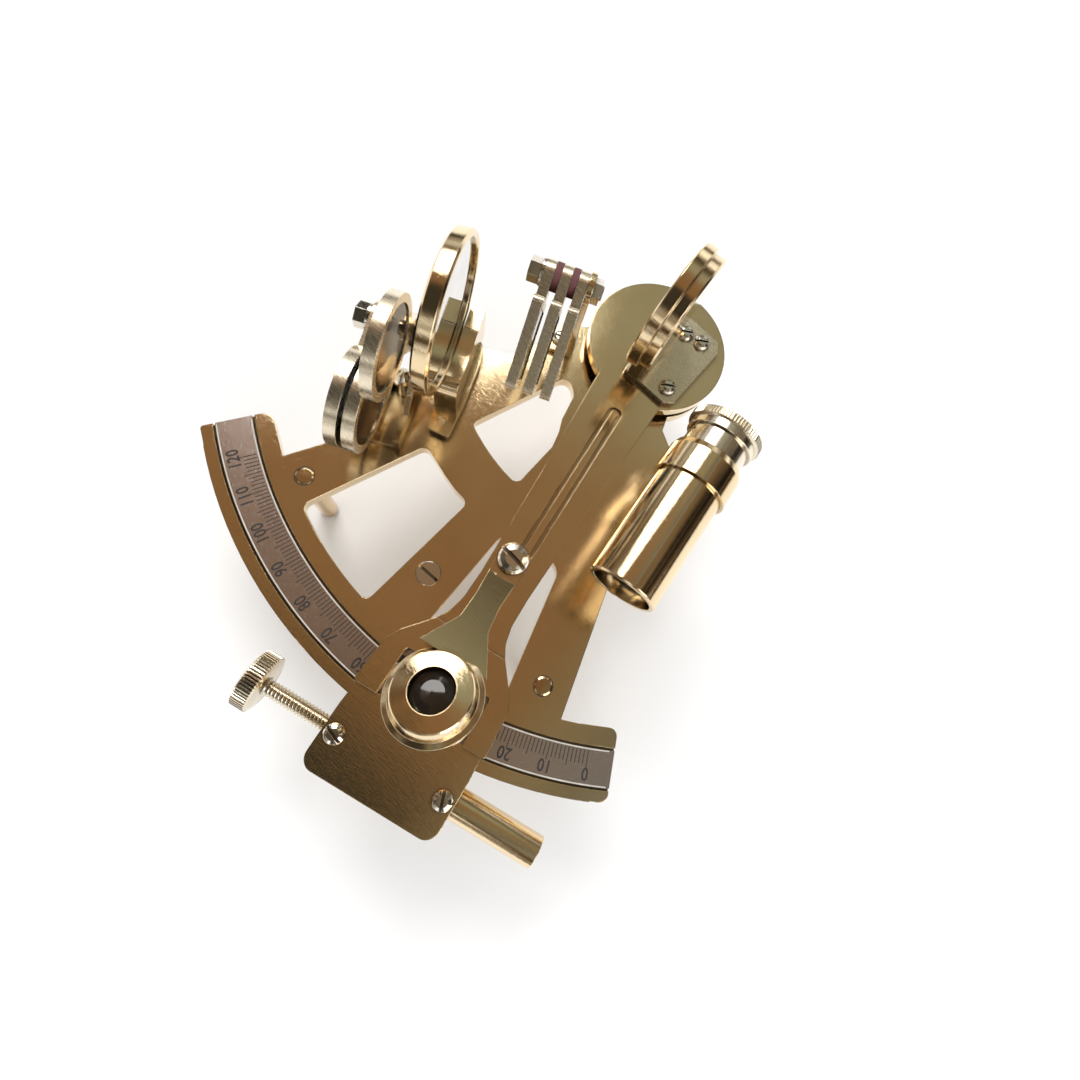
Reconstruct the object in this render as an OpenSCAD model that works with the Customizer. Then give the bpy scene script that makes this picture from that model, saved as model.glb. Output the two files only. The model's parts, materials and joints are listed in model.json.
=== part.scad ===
// Nautical sextant, millimetres.
// The sextant lies face up on its three legs. The origin is the foot of the leg beside the pivot,
// +Z is up out of the engraved face and the arc lies towards -Y.
// Every sub-part is drawn in pivot coordinates, with the index arm's pivot axis as Z and the frame's
// front face at Z = 0, and placed() moves it to the origin above.

/* [Frame] */
// Radius of the limb's outer edge
limb_r = 96; // [95:0.5:97]
// Thickness of the frame plate
plate_t = 3; // [2.6:0.2:3]
// Height of the frame's front face above the table
stand_h = 28; // [26:1:34]

/* [Index arm] */
// Direction of the index arm at rest
arm_rest = -80.6; // [-84:0.2:-78]
// Radius of the arm's round head
arm_head_r = 16; // [15.5:0.1:16.1]
// Half width of the block that carries the vernier
block_hw = 13.7; // [13.5:0.1:14.2]

/* [Mirrors and shades] */
// Outer radius of the horizon mirror's cell
horizon_r = 15.6; // [15:0.1:15.8]
// Outer radius of the index mirror's cell
index_r = 14; // [13.5:0.1:14.2]
// Thickness of the round shade frames
shade_t = 2.3; // [1.8:0.1:2.3]

/* [Telescope] */
// Height of the telescope's axis above the frame
tele_z = 23; // [22:0.5:26]
// Outer radius of the telescope's main tube
tele_r = 6.6; // [6.5:0.05:6.7]

/* [Hidden] */
$fn = 64;
fit = 0.05;
// Corner arcs are this much inside their tangent lines, so that they cross them cleanly
arc_slack = 0.01;

limb_in = limb_r - 13.4;
strip_r = [limb_r - 9.45, limb_r - 2.7];
strip_t = 0.8;
strip_gap = 0.45;
band_r = [45.2, 55.6];
leg_r = 2;
leg_tenon_r = 1.85;
head_leg = [0, 11.8];
leg_at = [[-33.8, -72.5], [29, -72.1], head_leg];
post_at = [24.6, -24.5];
post_r = 2;
ear_r = 5;

arm_z = 2.4;
arm_top = 4.9;
shaft_r = 2.5;
bush_r = 4;
end_z = [3.1, 5.5];
cover_z = [1.3, 3.1];
cover_u = [90.6, 108.4];
tangent_u = 101.5;
tangent_v = 11.2;
tangent_z = -3;
tangent_r = 1.6;
block_u = [97.6, 105.4];
block_v = [8.7, 13.3];
block_floor = -6.6;
barrel_v = 31.4;
barrel_r = 3;
plunger_r = 1.9;
plunger_end = 18;
knob_v = [-30.9, -27.1];
knob_r = 5.5;
clamp_u = 89.5;
clamp_hw = 7.2;

mag_at = [59.9, -1.2];
mag_z = 8.7;
mag_cup = [27.6, 1.6];
mag_cup_z = 15.9;
mag_tilt = 12;
mag_roll = 12;

grip_a = [-2.6, -70.6];
grip_b = [0.6, -17];
grip_z = -15;
grip_r = 3.4;
grip_over = 4.4;
grip_span = norm(grip_b - grip_a);
grip_az = atan2(grip_b[1] - grip_a[1], grip_b[0] - grip_a[0]);
grip_post_r = 2.3;

index_c = [0.2, -2.3, 23];
index_az = 5;
cell_base = [[-1.8, -10.9], [9.5, -11.1], [11.5, -9.5], [11.5, 7.6], [9.7, 10], [2, 10.2], [-1.8, 9]];
cell_base_z = 6.5;
cell_screws = [[7.1, 6.6], [8.1, -7.8], [3, 5.8]];

horizon_c = [-28.3, -35.8, 25.1];
horizon_az = 25.6;
horizon_t = 3.3;

foot_screws = [-12, 3.4];
bracket_bolt = [-8.45, -7];
bracket_x = -11.5;

ring_pin = [-43.9, -44.5, 16];
ring_t = [3.4, 6.5, 9.6];
ring_ear_t = [11.4, 12.6];
ring_drop = [5, 7, -50];
ring_len = 16.2;
ring_r = 9.6;
ring_pin_r = 1.5;

flap_pin = [-25.2, -16.6, 23.4];
flap_az = 24;
flap_thick = 2;
flap_t = [2.65, 6.05, 9.45];
flap_ear_t = [10.5, 11.7];
flap_drop = 27;
flap_reach = 23;
flap_size = [18, 16.6];
flap_pin_r = 1.5;
flap_screw = 8.2;

tele_az = -84.6;
tele_off = -0.66;
tele_span = [-0.9, 28.8];
draw_r = tele_r - 0.45;

BRASS = [0.65, 0.48, 0.27];
GOLD = [0.71, 0.52, 0.23];
STEEL = [0.66, 0.64, 0.6];
NICKEL = [0.45, 0.43, 0.44];
GLASS = [0.8, 0.86, 0.86];
SHADE = [0.1, 0.09, 0.06];
FIBRE = [0.35, 0.16, 0.18];

// ---------- helpers ----------

module placed() {
  translate([-head_leg[0], -head_leg[1], stand_h]) children();
}

function unit(v) = v / norm(v);
function arc(r, a1, a2, n) = [for (i = [0:n]) r * [cos(a1 + (a2 - a1) * i / n), sin(a1 + (a2 - a1) * i / n)]];

// One corner of a polygon: [point, direction back, direction on, half angle, 1 when convex]
function corner(pts, i) =
  let (n = len(pts), p = pts[i], a = pts[(i + n - 1) % n], b = pts[(i + 1) % n],
       d1 = unit(a - p), d2 = unit(b - p))
  [p, d1, d2, acos(max(-1, min(1, d1 * d2))) / 2, d1[0] * d2[1] - d1[1] * d2[0] < 0 ? 1 : 0];
function round_centre(c, r) = c[0] + unit(c[1] + c[2]) * r / sin(c[3]);

// Anticlockwise outline whose corner i is rounded to radius r[i]; 0 leaves the corner sharp
module soft(pts, r) {
  c = [for (i = [0:len(pts) - 1]) corner(pts, i)];
  difference() {
    union() {
      polygon([for (i = [0:len(pts) - 1])
        each r[i] > 0
          ? [c[i][0] + c[i][1] * r[i] / tan(c[i][3]), c[i][0] + c[i][2] * r[i] / tan(c[i][3])]
          : [pts[i]]]);
      for (i = [0:len(pts) - 1])
        if (r[i] > 0 && c[i][4] == 1)
          translate(round_centre(c[i], r[i])) circle(r[i] - arc_slack);
    }
    for (i = [0:len(pts) - 1])
      if (r[i] > 0 && c[i][4] == 0)
        translate(round_centre(c[i], r[i])) circle(r[i] - arc_slack);
  }
}

// A turned piece along +X from x1 to x2
module rod(r, x1, x2) {
  translate([x1, 0, 0]) rotate([0, 90, 0]) cylinder(r = r, h = x2 - x1);
}

// A flat plate standing across X: outline drawn in (y, z), from x1 to x2
module slab(x1, x2) {
  translate([x1, 0, 0]) rotate([90, 0, 90]) linear_extrude(x2 - x1) children();
}

// Pan head screw: seat at z = 0, shank below, slot across the head
module pan_screw(head_r, head_h, shank_r, shank_l) {
  difference() {
    union() {
      rotate_extrude()
        polygon([[0, 0], [head_r, 0], [head_r, head_h * 0.45], [head_r * 0.86, head_h * 0.8],
                 [head_r * 0.55, head_h], [0, head_h]]);
      translate([0, 0, -shank_l]) cylinder(r = shank_r, h = shank_l + 0.01);
    }
    translate([-head_r - 1, -head_r * 0.13, head_h * 0.5])
      cube([2 * head_r + 2, head_r * 0.26, head_h]);
  }
}

module in_arm() {
  rotate([0, 0, arm_rest]) children();
}

module at_horizon() {
  translate([horizon_c[0], horizon_c[1], 0]) rotate([0, 0, horizon_az]) children();
}

module at_rings() {
  translate(ring_pin) rotate([0, 0, horizon_az]) children();
}

module at_flaps() {
  translate(flap_pin) rotate([0, 0, flap_az]) children();
}

module at_tangent() {
  in_arm() translate([tangent_u, 0, tangent_z]) rotate([0, 0, 90]) children();
}

module at_telescope() {
  translate([post_at[0], post_at[1], 0]) rotate([0, 0, tele_az]) children();
}

// ---------- frame ----------

module limb_end(inner, outer, side) {
  back_in = inner + [-side * 6, side > 0 ? -3.7 : -3.9];
  back_out = outer + [-side * 6, side > 0 ? -3.55 : -3.75];
  pts = side > 0 ? [inner, back_in, back_out, outer] : [inner, outer, back_out, back_in];
  soft(pts, side > 0 ? [1.6, 0, 0, 1.6] : [2.4, 0.6, 0, 0]);
}

module band(r1, r2) {
  difference() {
    circle(r2, $fn = 180);
    circle(r1, $fn = 180);
  }
}

module limb() {
  intersection() {
    band(limb_in, limb_r);
    polygon([[0, 0], [60 * cos(-59), 60 * sin(-59)] * 2, [0, -140], [60 * cos(-122.6), 60 * sin(-122.6)] * 2]);
  }
  limb_end([45.6, -68.7], [52.3, -80.4], 1);
  limb_end([-48.2, -67.3], [-55.2, -78.6], -1);
}

module web() {
  soft([[36.6, -77], [26.7, -49.3], [12, -9], [0, 0], [-12, -2], [-17.3, -7.6], [-22.9, -23.4],
        [-28.5, -26.7], [-32.3, -48.1], [-36, -65], [-42.3, -77.5], [-30, -84], [0, -88], [24, -84]],
       [0, 0, 0, 0, 0, 0, 3, 2.5, 0, 0, 0, 0, 0, 0]);
}

module openings() {
  left = concat([[-29.9, -77]], arc(limb_in, -109, -95.2, 5), [[-6.7, -54.9]],
                arc(band_r[1], -101, -108.5, 2), [[-21.3, -51.7]]);
  soft(left, [for (i = [0:len(left) - 1]) i == 0 || i == 6 || i == 7 || i == len(left) - 1 ? 1.6 : 0]);
  upper = concat(arc(band_r[0], -113.5, -92.6, 6),
                 [[-2.1, -33.6], [-3.3, -29.9], [-4.8, -27.1], [-6.5, -21], [-10.4, -17.8]]);
  soft(upper, [1.2, 0, 0, 0, 0, 0, 1.5, 0, 0, 0, 1.5, 2]);
  right = concat(arc(limb_in, -87.1, -72.6, 5), arc(54.4, -72.6, -87, 4));
  soft(right, [2, 0, 0, 0, 0, 2, 3, 0, 0, 0, 3]);
}

module ear() {
  translate(post_at) circle(ear_r);
  polygon([[22.9, -41], [28.9, -25.9], [26.2, -20.3], [13.6, -13.2], [10, -28]]);
}

module frame_plate() {
  color(BRASS) placed() difference() {
    translate([0, 0, -plate_t]) linear_extrude(plate_t) difference() {
      union() {
        limb();
        web();
        circle(15.8);
        ear();
      }
      openings();
      circle(bush_r);
      for (p = leg_at) translate(p) circle(leg_tenon_r);
      translate(post_at) circle(post_r - 0.4);
      for (p = [grip_a, grip_b]) translate(p) circle(1.3);
      at_horizon() for (y = foot_screws) translate([1, y]) circle(1);
      at_horizon() translate([bracket_bolt[0], bracket_bolt[1]]) circle(1);
      translate([flap_pin[0], flap_pin[1]]) rotate(flap_az) translate([flap_screw, 0]) circle(1);
    }
    translate([0, 0, -strip_t]) linear_extrude(strip_t + 1) band(strip_r[0] - strip_gap, strip_r[1] + strip_gap);
    for (p = [grip_a, grip_b])
      translate([p[0], p[1], -1.15]) cylinder(r1 = 1.3, r2 = 2.45, h = 1.151);
  }
}

module scale_strip() {
  color(NICKEL) placed() translate([0, 0, -strip_t]) linear_extrude(strip_t) intersection() {
    limb();
    band(strip_r[0], strip_r[1]);
  }
}

module legs() {
  color(BRASS) placed() for (p = leg_at) translate([p[0], p[1], -stand_h])
    rotate_extrude() polygon([[0, 0], [leg_r - 0.7, 0], [leg_r - 0.2, 0.25], [leg_r, 0.8],
      [leg_r, stand_h - plate_t], [leg_tenon_r, stand_h - plate_t], [leg_tenon_r, stand_h + 0.05],
      [leg_tenon_r - 0.4, stand_h + 0.25], [0, stand_h + 0.3]]);
}

module pivot_bush() {
  color(GOLD) placed() rotate_extrude() polygon([[shaft_r + fit, -plate_t], [bush_r, -plate_t], [bush_r, 0],
    [8.6, 0], [9, 0.3], [9, arm_z - fit], [shaft_r + fit, arm_z - fit]]);
}

module at_grip() {
  translate([grip_a[0], grip_a[1], grip_z]) rotate([0, 0, grip_az]) children();
}

module grip() {
  length = grip_span + 2 * grip_over;
  beads = 14;
  steps = 12 * beads;
  wave = [for (i = [0:steps]) [grip_r - 0.3 + 0.3 * abs(sin(180 * beads * i / steps)),
                               0.8 + (length - 1.6) * i / steps]];
  color(BRASS) placed() at_grip() difference() {
    translate([-grip_over, 0, 0]) rotate([0, 90, 0])
      rotate_extrude() polygon(concat([[0, 0], [grip_r - 1, 0], [grip_r - 0.3, 0.3]], wave,
        [[grip_r - 0.3, length - 0.3], [grip_r - 1, length], [0, length]]));
    for (x = [0, grip_span]) translate([x, 0, 0]) {
      translate([0, 0, 1.6]) cylinder(r = grip_post_r, h = 4);
      translate([0, 0, -1.6]) cylinder(r = 1.2, h = 4);
    }
  }
}

module grip_posts() {
  color(BRASS) placed() difference() {
    for (p = [grip_a, grip_b])
      translate([p[0], p[1], 0]) rotate_extrude() polygon([[0, grip_z + 1.6], [grip_post_r, grip_z + 1.6],
        [grip_post_r, -plate_t - 1.4], [grip_post_r + 0.8, -plate_t - 1], [grip_post_r + 0.8, -plate_t],
        [0, -plate_t]]);
    for (p = [grip_a, grip_b]) translate([p[0], p[1], grip_z]) cylinder(r = 1.2, h = 20);
  }
}

module grip_screws() {
  color(STEEL) placed() for (p = [grip_a, grip_b]) translate([p[0], p[1], 0]) difference() {
    rotate_extrude() polygon([[0, grip_z - 1.4], [0.9, grip_z - 1.4], [1.2, grip_z - 1], [1.2, -1.2],
      [2.38, -0.02], [2.38, 0], [0, 0]]);
    translate([-3, -0.3, -0.7]) cube([6, 0.6, 1]);
  }
}

// ---------- horizon mirror ----------

module horizon_mirror_base() {
  foot = [[-1.5, -14.3], [3.4, -15], [4.3, -5.5], [4.6, 3.3], [4.2, 6.6], [3.2, 9], [-1.5, 8]];
  color(BRASS) placed() at_horizon() difference() {
    union() {
      linear_extrude(2.2) soft(foot, [0.8, 0.8, 0, 0, 0, 2, 0]);
      translate([0.1, 5.6, 0]) cube([3, 5.4, 11.8]);
      slab(-1.5, 3.1) soft([[-9, 2], [6, 2], [6, 6.5], [5.4, 12], [0.8, 12], [-9, 12]], [0, 0, 0, 0, 0, 3]);
    }
    translate([0, 0, horizon_c[2]]) rod(horizon_r, -3, 0.001);
    translate([0, 0, horizon_c[2]]) rod(horizon_r - 1.2, -3, 6);
    for (y = foot_screws) translate([1, y, -1]) cylinder(r = 0.95, h = 5);
  }
}

module horizon_mirror_cell() {
  color(BRASS) placed() at_horizon() translate([0, 0, horizon_c[2]]) rotate([0, 90, 0])
    rotate_extrude() polygon([[0, -horizon_t], [horizon_r - 0.8, -horizon_t], [horizon_r - 0.3, -horizon_t + 0.4],
      [horizon_r, -0.4], [horizon_r - 0.4, 0], [horizon_r - 1.3, 0], [horizon_r - 1.6, -0.3],
      [horizon_r - 1.6, -1.9], [0, -1.9]]);
}

module horizon_mirror() {
  color(GLASS) placed() at_horizon() translate([0, 0, horizon_c[2]]) rod(horizon_r - 1.6, -1.9, -0.8);
}

module horizon_mirror_screws() {
  color(STEEL) placed() at_horizon() for (y = foot_screws)
    translate([1, y, -plate_t]) rotate([180, 0, 0]) pan_screw(1.9, 1.4, 0.95, plate_t + 2);
}

// ---------- horizon shades ----------

module horizon_shade_bracket() {
  pin = ring_pin - horizon_c;
  pin_x = pin[0] * cos(horizon_az) + pin[1] * sin(horizon_az);
  pin_y = -pin[0] * sin(horizon_az) + pin[1] * cos(horizon_az);
  wall = [pin_x + ring_ear_t[0], pin_x + ring_ear_t[1]];
  color(BRASS) placed() at_horizon() difference() {
    union() {
      translate([bracket_x, -20, 0]) cube([wall[1] - bracket_x, 15.6, 3.3]);
      slab(wall[0], wall[1]) {
        translate([pin_y, ring_pin[2]]) circle(3.6);
        polygon([[-20, 1], [-4.4, 1], [pin_y + 3.4, ring_pin[2] - 1.2], [pin_y - 3.2, ring_pin[2] + 1.6],
                 [-11, 8], [-14, 4.8], [-20, 4.8]]);
      }
    }
    translate([wall[0] - 1, pin_y, ring_pin[2]]) rod(ring_pin_r, 0, 4);
    translate([bracket_x + 0.9, -21, 1.3]) cube([wall[0] - bracket_x - 0.91, 17.8, 6]);
    translate([bracket_bolt[0], bracket_bolt[1], -1]) cylinder(r = 0.95, h = 7);
  }
}

module horizon_bracket_nut() {
  color(STEEL) placed() at_horizon() translate([bracket_bolt[0], bracket_bolt[1], 0]) rotate_extrude()
    polygon([[0, -plate_t], [0.95, -plate_t], [0.95, 1.3], [2, 1.3], [2, 6.8], [1.7, 7.8], [1.1, 8.5], [0, 8.8]]);
}

module horizon_shade_bolt() {
  color(STEEL) placed() at_rings() {
    rotate([0, 90, 0]) translate([0, 0, -0.9]) cylinder(r = 2.6, h = 2.3, $fn = 6);
    rod(ring_pin_r, 1.4, ring_ear_t[1] + 1.1);
  }
}

module horizon_shade_washers() {
  half = shade_t / 2 + fit;
  edges = [1.4, ring_t[0] - half, ring_t[0] + half, ring_t[1] - half, ring_t[1] + half,
           ring_t[2] - half, ring_t[2] + half, ring_ear_t[0]];
  color(STEEL) placed() at_rings() for (i = [0:3]) difference() {
    rod(2.9, edges[2 * i], edges[2 * i + 1]);
    rod(ring_pin_r, edges[2 * i] - 1, edges[2 * i + 1] + 1);
  }
}

module shade_ring(i) {
  color(GOLD) placed() at_rings() translate([ring_t[i], 0, 0]) rotate([ring_drop[i], 0, 0]) difference() {
    union() {
      translate([0, -ring_len, 0]) rod(ring_r, -shade_t / 2, shade_t / 2);
      rod(3.5, -shade_t / 2, shade_t / 2);
      slab(-shade_t / 2, shade_t / 2)
        polygon([[0, -3.5], [0, 3.5], [-ring_len + 8.2, 3], [-ring_len + 8.2, -3]]);
    }
    translate([0, -ring_len, 0]) rod(7.3, -2, 2);
    translate([0, -ring_len, 0]) rod(8, -0.1, 2);
    rod(ring_pin_r + fit, -2, 2);
  }
}

module ring_glass(i) {
  color(SHADE) placed() at_rings() translate([ring_t[i], 0, 0]) rotate([ring_drop[i], 0, 0])
    translate([0, -ring_len, 0]) rod(8, -0.1, 0.9);
}

module horizon_shade_1() { shade_ring(0); }
module horizon_shade_2() { shade_ring(1); }
module horizon_shade_3() { shade_ring(2); }
module horizon_glass_1() { ring_glass(0); }
module horizon_glass_2() { ring_glass(1); }
module horizon_glass_3() { ring_glass(2); }

// ---------- index shades ----------

module index_shade_bracket() {
  color(BRASS) placed() at_flaps() difference() {
    union() {
      slab(flap_ear_t[0], flap_ear_t[1]) {
        circle(3.4);
        translate([-3.2, -flap_pin[2]]) square([6.4, flap_pin[2]]);
      }
      translate([flap_ear_t[0] - 4.2, -3.2, -flap_pin[2]]) cube([4.4, 6.4, 1.4]);
    }
    rod(flap_pin_r, 8, 14);
    translate([flap_screw, 0, -flap_pin[2] - 1]) cylinder(r = 0.95, h = 4);
  }
}

module index_shade_bolt() {
  color(STEEL) placed() at_flaps() {
    translate([-1.3, 0, 0]) rotate([0, 90, 0]) cylinder(r = 2.6, h = 2.4, $fn = 6);
    rod(flap_pin_r, 1, flap_ear_t[1] + 2);
  }
}

module index_shade_nut() {
  color(STEEL) placed() at_flaps() difference() {
    translate([flap_ear_t[1], 0, 0]) rotate([0, 90, 0]) cylinder(r = 2.6, h = 1.6, $fn = 6);
    rod(flap_pin_r, 8, 16);
  }
}

module index_bracket_screw() {
  color(STEEL) placed() at_flaps() translate([flap_screw, 0, 1.4 - flap_pin[2]])
    pan_screw(1.7, 1.3, 0.95, 1.4 + plate_t);
}

module washers_at(gaps, r) {
  for (g = gaps) difference() {
    rod(r, g[0], g[1]);
    rod(flap_pin_r, g[0] - 1, g[1] + 1);
  }
}

module index_shade_washers() {
  half = flap_thick / 2 + fit;
  color(STEEL) placed() at_flaps() washers_at([[1.1, flap_t[0] - half]], 2.9);
}

module index_fibre_washers() {
  half = flap_thick / 2 + fit;
  gaps = [for (i = [0, 1]) [flap_t[i] + half, flap_t[i + 1] - half]];
  color(FIBRE) placed() at_flaps() washers_at(gaps, 3);
}

module flap_window(grow) {
  mid = flap_reach - flap_size[0] / 2;
  translate([-mid, 0]) square([flap_size[0] - 5.2 + grow, flap_size[1] - 4.6 + grow], center = true);
}

module flap(i) {
  half = flap_thick / 2;
  neck = flap_size[0] - flap_reach - 0.5;
  c = [[-flap_reach, -flap_size[1] / 2], [flap_size[0] - flap_reach, -flap_size[1] / 2],
       [flap_size[0] - flap_reach, flap_size[1] / 2], [-flap_reach, flap_size[1] / 2]];
  color(GOLD) placed() at_flaps() translate([flap_t[i], 0, 0]) rotate([flap_drop, 0, 0]) difference() {
    union() {
      slab(-half, half) {
        soft(c, [1.2, 1.2, 1.2, 1.2]);
        polygon([[0, -3], [0, 3], [neck, 3.4], [neck, -3.4]]);
        circle(3);
      }
    }
    slab(-half - 1, half + 1) flap_window(0);
    slab(-0.1, half + 1) flap_window(1.4);
    rod(flap_pin_r + fit, -2, 2);
  }
}

module flap_glass(i) {
  color(SHADE) placed() at_flaps() translate([flap_t[i], 0, 0]) rotate([flap_drop, 0, 0])
    slab(-0.1, 0.8) flap_window(1.4);
}

module index_shade_1() { flap(0); }
module index_shade_2() { flap(1); }
module index_shade_3() { flap(2); }
module index_glass_1() { flap_glass(0); }
module index_glass_2() { flap_glass(1); }
module index_glass_3() { flap_glass(2); }

// ---------- index arm ----------

module pivot_shaft() {
  color(STEEL) placed() translate([0, 0, -6.6]) cylinder(r = shaft_r, h = 6.6 + arm_top);
}

module pivot_nut() {
  color(STEEL) placed() difference() {
    translate([0, 0, -6]) cylinder(r = 4.6, h = 6 - plate_t - fit, $fn = 6);
    translate([0, 0, -7]) cylinder(r = shaft_r, h = 8);
  }
}

module arm_outline() {
  circle(arm_head_r);
  soft([[8, -8.2], [14, -7.8], [40, -6.3], [64, -5.3], [70, -5.4], [73.4, -6.2], [77, -8.4],
        [77, 8.4], [73.4, 6.2], [70, 5.4], [64, 5.3], [40, 6.3], [14, 7.8], [8, 8.2]],
       [0, 0, 0, 0, 4, 4, 0, 0, 4, 4, 0, 0, 0, 0]);
}

module end_outline() {
  soft([[75.8, -7.6], [80.8, -11.8], [83.5, -13.2], [92.2, -block_hw], [92.2, block_hw],
        [83.5, 13.2], [80.8, 11.8], [75.8, 7.6]],
       [0, 0, 2, 0.4, 0.4, 2, 0, 0]);
}

module racetrack(hw) {
  translate([19 + 1.6, -hw]) square([35.4, 2 * hw]);
  for (u = [20.6, 56]) translate([u, 0]) circle(hw);
}

module index_arm() {
  color(BRASS) placed() in_arm() difference() {
    union() {
      translate([0, 0, arm_z]) linear_extrude(arm_top - arm_z) arm_outline();
      translate([0, 0, end_z[0]]) linear_extrude(end_z[1] - end_z[0]) end_outline();
    }
    translate([0, 0, end_z[0] - 1]) linear_extrude(4)
      soft([[82.8, -9], [94, -9], [94, 9], [82.8, 9]], [0.8, 0, 0, 0.8]);
    translate([0, 0, arm_top - 0.55]) linear_extrude(1) difference() {
      racetrack(1.6);
      racetrack(0.75);
    }
    cylinder(r = shaft_r, h = 10);
    translate([mag_at[0], mag_at[1], 0]) cylinder(r = 1.5, h = 10);
    rotate([0, 0, -arm_rest]) for (p = cell_screws) translate([p[0], p[1], 0]) cylinder(r = 0.95, h = 10);
  }
}

module vernier_plate() {
  color(NICKEL) placed() rotate([0, 0, arm_rest - 8.2]) rotate_extrude(angle = 16.4, $fn = 180)
    polygon([[limb_in, 0.12], [strip_r[0] - 0.1, 0.12], [strip_r[0] - 0.15, 0.4], [84.8, end_z[0]],
             [limb_in, end_z[0]]]);
}

module index_mirror_base() {
  color(GOLD) placed() difference() {
    translate([0, 0, arm_top]) linear_extrude(cell_base_z - arm_top)
      soft(cell_base, [0.8, 0, 0, 0, 0, 0, 0]);
    for (p = cell_screws) translate([p[0], p[1], 0]) cylinder(r = 0.95, h = 10);
  }
}

module index_mirror_cell() {
  color(BRASS) placed() translate([index_c[0], index_c[1], 0]) rotate([0, 0, index_az]) {
    translate([0, 0, index_c[2]]) rotate([0, 90, 0]) rotate_extrude()
      polygon([[0, -1], [index_r - 1.5, -1], [index_r - 1.5, -2.4], [index_r - 1.2, -2.7],
               [index_r - 0.3, -2.7], [index_r, -2.4], [index_r, -0.2], [index_r - 0.9, 0],
               [index_r - 0.9, 2], [index_r - 1.3, 2.4], [0, 2.4]]);
    difference() {
      translate([-1.6, -9.2, cell_base_z]) cube([2.6, 14.6, 6.5]);
      translate([0, 0, index_c[2]]) rod(index_r - 0.95, -3, -0.1);
      translate([0, 0, index_c[2]]) rod(index_r - 1.3, -1, 3);
    }
  }
}

module index_mirror() {
  color(GLASS) placed() translate([index_c[0], index_c[1], 0]) rotate([0, 0, index_az])
    translate([0, 0, index_c[2]]) rod(index_r - 1.5, -2, -1);
}

module index_mirror_screws() {
  color(STEEL) placed() for (p = cell_screws) translate([p[0], p[1], cell_base_z]) rotate([0, 0, 35])
    pan_screw(1.8, 1.5, 0.95, cell_base_z - arm_z - 0.4);
}

// ---------- magnifier ----------

module magnifier_post() {
  color(BRASS) placed() in_arm() translate([mag_at[0], mag_at[1], 0]) difference() {
    rotate_extrude() polygon([[0, arm_z + 0.2], [1.5, arm_z + 0.2], [1.5, arm_top], [2.7, arm_top],
      [2.7, mag_z - fit], [1.6, mag_z - fit], [1.6, mag_z + 1.6], [0, mag_z + 1.6]]);
    translate([0, 0, arm_top]) cylinder(r = 0.9, h = 10);
  }
}

module magnifier_screw() {
  color(STEEL) placed() in_arm() translate([mag_at[0], mag_at[1], mag_z + 1.6]) rotate([0, 0, 75])
    pan_screw(2.95, 1.9, 0.9, 4);
}

module at_magnifier() {
  in_arm() translate([mag_at[0], mag_at[1], 0]) children();
}

module at_lens() {
  at_magnifier() translate([mag_cup[0], mag_cup[1], mag_cup_z]) rotate([mag_roll, 0, 0]) rotate([0, -mag_tilt, 0])
    children();
}

module magnifier_arm() {
  top = mag_z + 1.5;
  rise = [[-4, mag_z], [4.6, mag_z], [21, mag_cup_z - 1.4], [21, mag_cup_z + 0.5], [3.9, top], [-4, top]];
  color(BRASS) placed() difference() {
    union() {
      at_magnifier() {
        translate([0, 0, mag_z]) cylinder(r = 3.3, h = 1.5);
        intersection() {
          translate([0, 8, 0]) rotate([90, 0, 0]) linear_extrude(16) polygon(rise);
          translate([0, 0, 5]) linear_extrude(20)
            polygon([[0, -3.1], [9, -2.4], [14, -2.5], [20.8, -6], [20.8, 7.4], [14, 3.4], [9, 2.7], [0, 3.1]]);
        }
      }
      at_lens() rotate_extrude() polygon([[0, -0.4], [8, -0.4], [8.4, 0], [8.4, 1], [7.4, 1.5], [6.85, 4],
        [6.6, 4.3], [3.85, 4.8], [0, 4.8]]);
    }
    at_magnifier() cylinder(r = 1.6 + fit, h = 30);
    at_lens() {
      translate([0, 0, 2.2]) cylinder(r = 3.85, h = 8);
      translate([0, 0, -6]) cylinder(r = 3.2, h = 10);
      translate([0, 0, -6.4]) cylinder(r = 6.2, h = 8);
    }
  }
}

module magnifier_lens() {
  color(GLASS) placed() at_lens() translate([0, 0, 2.2]) rotate_extrude()
    polygon([[0, 0], [3.85, 0], [3.85, 0.9], [3.4, 1.2], [2, 1.55], [0, 1.7]]);
}

// ---------- tangent screw and clamp ----------

module tangent_cover() {
  color(BRASS) placed() in_arm() translate([0, 0, cover_z[0]]) difference() {
    linear_extrude(cover_z[1] - cover_z[0])
      soft([[cover_u[0], -13.2], [97, -13.6], [cover_u[1], -13.6],
            [cover_u[1], 13.6], [97, 13.6], [cover_u[0], 13.2]], [0, 0, 2.6, 2.6, 0, 0]);
    translate([cover_u[0] - 1, -9, -1]) cube([2.6, 18, 5]);
    for (v = [-tangent_v, tangent_v]) translate([tangent_u, v, -1]) cylinder(r = 0.95, h = 5);
  }
}

module cover_screws() {
  color(STEEL) placed() in_arm() for (v = [-tangent_v, tangent_v]) translate([tangent_u, v, cover_z[1]])
    rotate([0, 0, v > 0 ? 20 : 70]) pan_screw(1.9, 1.5, 0.95, 4.2);
}

module tangent_block(side) {
  in_arm() difference() {
    translate([block_u[0], side > 0 ? block_v[0] : -block_v[1], block_floor])
      cube([block_u[1] - block_u[0], block_v[1] - block_v[0], cover_z[0] - block_floor]);
    translate([tangent_u, side * tangent_v, -1.1]) cylinder(r = 0.95, h = 4);
  }
}

module tangent_bearing() {
  color(BRASS) placed() difference() {
    tangent_block(-1);
    at_tangent() rod(tangent_r + fit, -20, 0);
  }
}

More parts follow.
